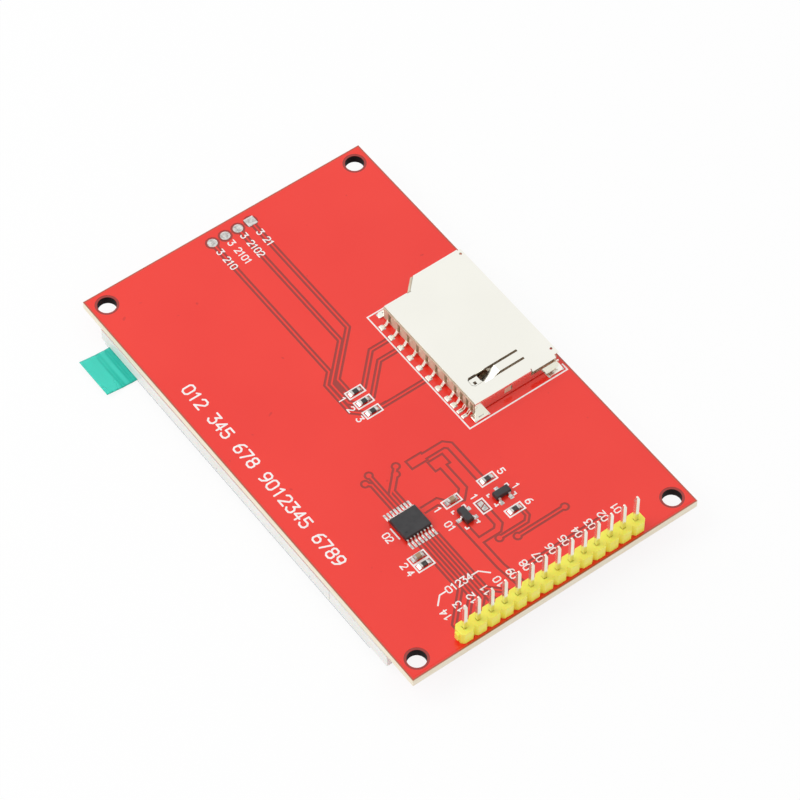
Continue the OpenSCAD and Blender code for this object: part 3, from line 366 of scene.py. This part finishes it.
rounding = {"header_housing": 0.06, "header_pin_": 0.04, "touch_controller": 0.04,
            "regulator": 0.04, "transistor": 0.04, "chip_leads": 0.02, "resistor_": 0.03,
            "capacitor_": 0.04,
            "chip_end_caps": 0.03, "socket_base": 0.04, "socket_shell": 0.03,
            "socket_contact_": 0.02, "backlight_frame": 0.06}
edgeLook = {"joinWithin": 0.0005, "segments": 2, "sharperThan": 35}


def roundEdges(part, width):
    # the loose triangles are joined first, so that only real corners are rounded
    weld = part.modifiers.new("joined", "WELD")
    weld.merge_threshold = edgeLook["joinWithin"] * mm
    bevel = part.modifiers.new("rounded", "BEVEL")
    bevel.width = width * mm
    bevel.segments = edgeLook["segments"]
    bevel.limit_method = "ANGLE"
    bevel.angle_limit = math.radians(edgeLook["sharperThan"])
    bevel.use_clamp_overlap = True
    bevel.harden_normals = False


for name, part in nodes.items():
    for key, width in rounding.items():
        if name == key or (key.endswith("_") and name.startswith(key)):
            roundEdges(part, width)
print("edges rounded")


# the darker teal of the bands is painted shade at the creases and under the panel's edge, partly the doubled
# film near the root
tabLook = {"rows": 60, "columns": 24, "thick": 0.05, "short": 0.45, "shift": -0.4,
           "seat": 0.07, "headroom": 0.08, "curve": 1.6,
           "creases": (-29.9, -28.2), "creaseDepth": 0.05, "creaseWidth": 0.22,
           "bands": ((-29.65, 0.45), (-28.05, 0.3)), "film": (0.07, 0.80, 0.66),
           "doubledFilmAndShade": (0.012, 0.62, 0.49), "clear": 0.5}


def pullTab(look):
    # height rises with a power of the way out past the edge, less a narrow bell shaped dip
    # at each crease
    low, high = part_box("pull_tab")
    u = np.linspace(0, 1, look["rows"])[:, None]
    v = np.linspace(0, 1, look["columns"])[None, :]
    root = high.x
    out = root - low.x - look["short"] * mm
    x = root - out * u + 0 * v
    y0, y1 = low.y + look["shift"] * mm, high.y + look["shift"] * mm
    y = y0 + (y1 - y0) * v + 0 * u
    past = np.clip((-boardHigh.x - x) / (-boardHigh.x - low.x), 0, 1)
    lift = (high.z - low.z - look["headroom"] * mm) * past ** look["curve"]
    dip = sum(np.exp(-((x / mm - c) / look["creaseWidth"]) ** 2) for c in look["creases"])
    dip = dip * look["creaseDepth"] * mm * np.clip(past * 8, 0, 1)
    z = low.z + look["seat"] * mm + lift - dip
    verts = np.stack([x, y, z], -1).reshape(-1, 3)
    piece = addMesh("pullTab", verts, gridFaces(look["rows"], look["columns"]), smooth=True)
    solid = piece.modifiers.new("thickness", "SOLIDIFY")
    solid.thickness = look["thick"] * mm
    solid.offset = 0
    return piece


def tabMaterial(look):
    # clear teal film: darker teal bands are painted shade in the creases and under the panel's edge, and near
    # the root partly the doubled film where the tab lies over the front film
    n = Nodes("tabFilm")
    x = n.axis("X")
    band = None
    for centre, width in look["bands"]:
        near = n.spread(n.math("ABSOLUTE", n.math("SUBTRACT", x, centre * mm)), width * mm * 0.6,
                        width * mm * 1.3, 1, 0)
        band = near if band is None else n.math("MAXIMUM", band, near)
    streak = n.noise(260, 3.0, n.mapped((1, 0.25, 1)))
    # painted shade in the bands, with the doubled film near the root
    deep = n.math("MULTIPLY", band, n.spread(streak, 0.3, 0.7, 0.5, 1))
    n.link(n.blend(deep, look["film"], look["doubledFilmAndShade"]), n.shader.inputs["Base Color"])
    n.link(n.spread(streak, 0.3, 0.7, 0.18, 0.32), n.shader.inputs["Roughness"])
    n.bump(streak, 0.00002)
    n.shader.inputs["Transmission Weight"].default_value = look["clear"]
    n.set(IOR=1.4)
    return n.material


tab = pullTab(tabLook)
rideRoot(tab, tabMaterial(tabLook))
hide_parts("pull_tab")
print("pull tab made")


figureWidth = 0.62   # of a figure 1 high
# strokes of each figure in that box
strokes = {
    "0": [[(0.15, 0), (0.47, 0), (0.62, 0.18), (0.62, 0.82), (0.47, 1), (0.15, 1), (0, 0.82),
           (0, 0.18), (0.15, 0)]],
    "1": [[(0.1, 0.8), (0.34, 1), (0.34, 0)]],
    "2": [[(0, 0.82), (0.15, 1), (0.47, 1), (0.62, 0.84), (0.62, 0.62), (0, 0), (0.62, 0)]],
    "3": [[(0, 1), (0.62, 1), (0.3, 0.6), (0.48, 0.6), (0.62, 0.45), (0.62, 0.16), (0.47, 0),
           (0.15, 0), (0, 0.16)]],
    "4": [[(0.46, 0), (0.46, 1), (0, 0.32), (0.62, 0.32)]],
    "5": [[(0.58, 1), (0.04, 1), (0.02, 0.58), (0.46, 0.6), (0.62, 0.44), (0.62, 0.16), (0.46, 0),
           (0.14, 0), (0, 0.14)]],
    "6": [[(0.54, 1), (0.28, 0.94), (0.05, 0.62), (0, 0.16), (0.15, 0), (0.47, 0), (0.62, 0.16),
           (0.62, 0.4), (0.47, 0.55), (0.15, 0.55), (0.02, 0.42)]],
    "7": [[(0, 1), (0.62, 1), (0.2, 0)]],
    "8": [[(0.16, 0.54), (0.03, 0.68), (0.03, 0.86), (0.16, 1), (0.46, 1), (0.59, 0.86),
           (0.59, 0.68), (0.46, 0.54), (0.16, 0.54), (0, 0.4), (0, 0.15), (0.16, 0), (0.46, 0),
           (0.62, 0.15), (0.62, 0.4), (0.46, 0.54)]],
    "9": [[(0.08, 0), (0.34, 0.06), (0.57, 0.38), (0.62, 0.84), (0.47, 1), (0.15, 1), (0, 0.84),
           (0, 0.6), (0.15, 0.45), (0.47, 0.45), (0.6, 0.58)]],
}


def segmentsOf(word, place, turn, height, pitch):
    # start and end of each stroke, turned about the word's middle and moved to its place
    width = (len(word) - 1) * pitch + figureWidth * height
    found = []
    for k, figure in enumerate(word):
        for line in strokes.get(figure, []):
            p = np.array(line) * height + (k * pitch - width / 2, -height / 2)
            found.append(np.stack([p[:-1], p[1:]], 1))
    p = np.concatenate(found)
    c, s = math.cos(math.radians(turn)), math.sin(math.radians(turn))
    return p @ np.array([[c, s], [-s, c]]) + np.array(place)


inkLook = {"points": 16, "rings": (1.0, 0.82, 0.0), "thick": 0.02, "drop": 0.75,
           "stagger": 0.0004, "staggerEvery": 7}


def inkStrokes(name, segments, width, level, look=inkLook):
    # each stroke is a flat dome: rings of a stadium outline about the line, whose height
    # falls with the fourth power of the distance from the middle, and strokes that cross lie
    # a hair apart in height
    a, b = segments[:, 0], segments[:, 1]
    along = b - a
    length = np.linalg.norm(along, axis=1, keepdims=True)
    along = along / np.maximum(length, 1e-9)
    across = np.stack([-along[:, 1], along[:, 0]], -1)
    points = look["points"]
    angle = np.linspace(0, 2 * np.pi, points, endpoint=False) + np.pi / points
    rings = np.array(look["rings"])
    cosA, sinA = np.cos(angle), np.sin(angle)
    end = (cosA > 0)[None, None, :, None]
    offset = (along[:, None, None, :] * cosA[None, None, :, None]
              + across[:, None, None, :] * sinA[None, None, :, None])
    base = np.where(end, b[:, None, None, :], a[:, None, None, :])
    flat = base + offset * (rings[None, :, None, None] * width / 2)
    order = np.arange(len(segments)) % look["staggerEvery"]
    dome = look["thick"] * (1 - look["drop"] * rings ** 4)[None, :, None]
    height = dome + look["stagger"] * order[:, None, None]
    z = np.broadcast_to(level + height, flat.shape[:3])
    verts = np.concatenate([flat, z[..., None]], -1).reshape(-1, 3) * mm
    one = gridFaces(len(rings), points, closeCols=True)
    first = np.arange(len(segments)) * len(rings) * points
    faces = (one[None] + first[:, None, None]).reshape(-1, 4)
    return rideRoot(addMesh(name, verts, faces, smooth=True), made["printInk"])


printing = {
    "side": {"word": "012 345 678 9012345 6789", "place": (-23.75, -0.25), "turn": -90,
             "height": 2.0, "pitch": 1.765, "width": 0.33},
    "small": {"height": 1.15, "pitch": 0.95, "width": 0.22},
    "pins": {"count": 14, "height": 1.2, "pitch": 0.98, "width": 0.22},
}


def boardNumbers(look):
    side = look["side"]
    inkStrokes("sideNumbers", segmentsOf(side["word"], side["place"], side["turn"], side["height"],
                                         side["pitch"]), side["width"], 0)
    small = look["small"]
    labels = [("1", (-5.35, 3.9), -90), ("2", (-5.35, 1.55), -90), ("3", (-5.35, -0.8), -90),
              ("02", (-15.2, -21.6), -90), ("1", (-5.9, -22.0), -90), ("01", (-6.2, -25.6), -90),
              ("5", (6.5, -22.0), -90), ("1", (6.6, -25.6), -90), ("6", (6.5, -29.1), -90),
              ("2", (-16.3, -27.3), -90), ("4", (-16.3, -28.9), -90), ("1", (0.1, -23.4), -90)]
    parts = [segmentsOf(word, place, turn, small["height"], small["pitch"])
             for word, place, turn in labels]
    for k, word in enumerate(("3 210", "3 2101", "3 2102", "3 21")):
        parts.append(segmentsOf(word, (-1.5 * pinPitch + pinPitch * k, 37.9), -90,
                                small["height"], small["pitch"]))
    inkStrokes("partNumbers", np.concatenate(parts), small["width"], 0)
    pins = look["pins"]
    parts = [segmentsOf(f"{pins['count'] - k:02d}", (-6.5 * pinPitch + pinPitch * k, -38.2), 90,
                        pins["height"], pins["pitch"]) for k in range(pins["count"])]
    parts.append(segmentsOf("01234", (-11.43, -34.8), 0, pins["height"], pins["pitch"]))
    inkStrokes("pinNumbers", np.concatenate(parts), pins["width"], 0)


boardNumbers(printing)
print("numbers printed")


stageLook = {"size": 3.0, "floor": (0.93, 0.93, 0.93), "seenShare": 0.88, "world": 0.80,
             "key": 1.6, "keyPlace": (-0.35, 0.25, 0.55), "keySize": (0.5, 0.5)}


def brightForViewer(name, colour, share):
    # what the camera, glass and metal see is near white, while the shadow stays
    n = Nodes(name)
    speck = n.noise(30, 2.0)
    n.link(n.blend(speck, colour, tuple(v * 0.985 for v in colour)), n.shader.inputs["Base Color"])
    n.set(Roughness=0.9)
    n.shader.inputs["Specular IOR Level"].default_value = 0.0
    path = n.add("ShaderNodeLightPath")
    other = n.math("MAXIMUM", path.outputs["Is Glossy Ray"], path.outputs["Is Transmission Ray"])
    seen = n.math("MAXIMUM", path.outputs["Is Camera Ray"], other)
    glow = n.add("ShaderNodeEmission")
    glow.inputs["Color"].default_value = (1, 1, 1, 1)
    glow.inputs["Strength"].default_value = 1.0
    mix = n.add("ShaderNodeMixShader")
    n.link(n.math("MULTIPLY", seen, share), mix.inputs[0])
    n.link(n.shader.outputs[0], mix.inputs[1])
    n.link(glow.outputs[0], mix.inputs[2])
    out = next(node for node in n.tree.nodes if node.type == "OUTPUT_MATERIAL")
    n.link(mix.outputs[0], out.inputs["Surface"])
    return n.material


def buildStage(look):
    half = look["size"] / 2
    u = np.linspace(-half, half, 5)
    x, y = np.meshgrid(u, u)
    verts = np.stack([x, y, np.full_like(x, floorLevel - 0.02 * mm)], -1).reshape(-1, 3)
    ground = addMesh("ground", verts, gridFaces(5, 5))
    ground.data.materials.append(brightForViewer("paperWhite", look["floor"], look["seenShare"]))
    world = bpy.data.worlds.new("softRoom")
    bpy.context.scene.world = world
    world.use_nodes = True
    tree = world.node_tree
    back = tree.nodes["Background"]
    back.inputs["Color"].default_value = (1, 1, 1, 1)
    path = tree.nodes.new("ShaderNodeLightPath")
    first = tree.nodes.new("ShaderNodeMath")
    second = tree.nodes.new("ShaderNodeMath")
    first.operation = second.operation = "MAXIMUM"
    tree.links.new(path.outputs["Is Camera Ray"], first.inputs[0])
    tree.links.new(path.outputs["Is Glossy Ray"], first.inputs[1])
    tree.links.new(first.outputs[0], second.inputs[0])
    tree.links.new(path.outputs["Is Transmission Ray"], second.inputs[1])
    # plain level for the light, full white for what is seen
    level = tree.nodes.new("ShaderNodeMapRange")
    level.inputs["To Min"].default_value = look["world"]
    level.inputs["To Max"].default_value = 1.0
    tree.links.new(second.outputs[0], level.inputs["Value"])
    tree.links.new(level.outputs["Result"], back.inputs["Strength"])


def softbox(name, place, aim, size, power):
    lamp = bpy.data.lights.new(name, "AREA")
    lamp.shape = "RECTANGLE"
    lamp.size, lamp.size_y = size
    lamp.energy = power
    holder = bpy.data.objects.new(name, lamp)
    holder.location = place
    holder.rotation_mode = "QUATERNION"
    holder.rotation_quaternion = (Vector(aim) - Vector(place)).to_track_quat("-Z", "Y")
    bpy.context.scene.collection.objects.link(holder)


cameraLook = {"place": (-0.209755, -0.290376, 0.493904), "right": (0.80528, -0.59285, -0.00711),
              "ahead": (0.34310, 0.47576, -0.80990), "sensor": 36, "lens": 173.4,
              "shift": (0.0219, 0.0025), "nearest": 0.01}


def placeCamera(look):
    right = Vector(look["right"]).normalized()
    ahead = Vector(look["ahead"]).normalized()
    up = right.cross(ahead).normalized()
    right = ahead.cross(up).normalized()
    lens = bpy.data.cameras.new("viewCamera")
    lens.sensor_width = look["sensor"]
    lens.lens = look["lens"]
    lens.shift_x, lens.shift_y = look["shift"]
    lens.clip_start = look["nearest"]
    camera = bpy.data.objects.new("viewCamera", lens)
    turn = Matrix((right, up, -ahead)).transposed().to_4x4()
    turn.translation = Vector(look["place"])
    camera.matrix_world = turn
    bpy.context.scene.collection.objects.link(camera)
    bpy.context.scene.camera = camera


buildStage(stageLook)
softbox("keyLight", stageLook["keyPlace"], (0, 0, 0), stageLook["keySize"], stageLook["key"])
placeCamera(cameraLook)
bpy.context.scene.view_settings.view_transform = "Standard"
print("stage set")
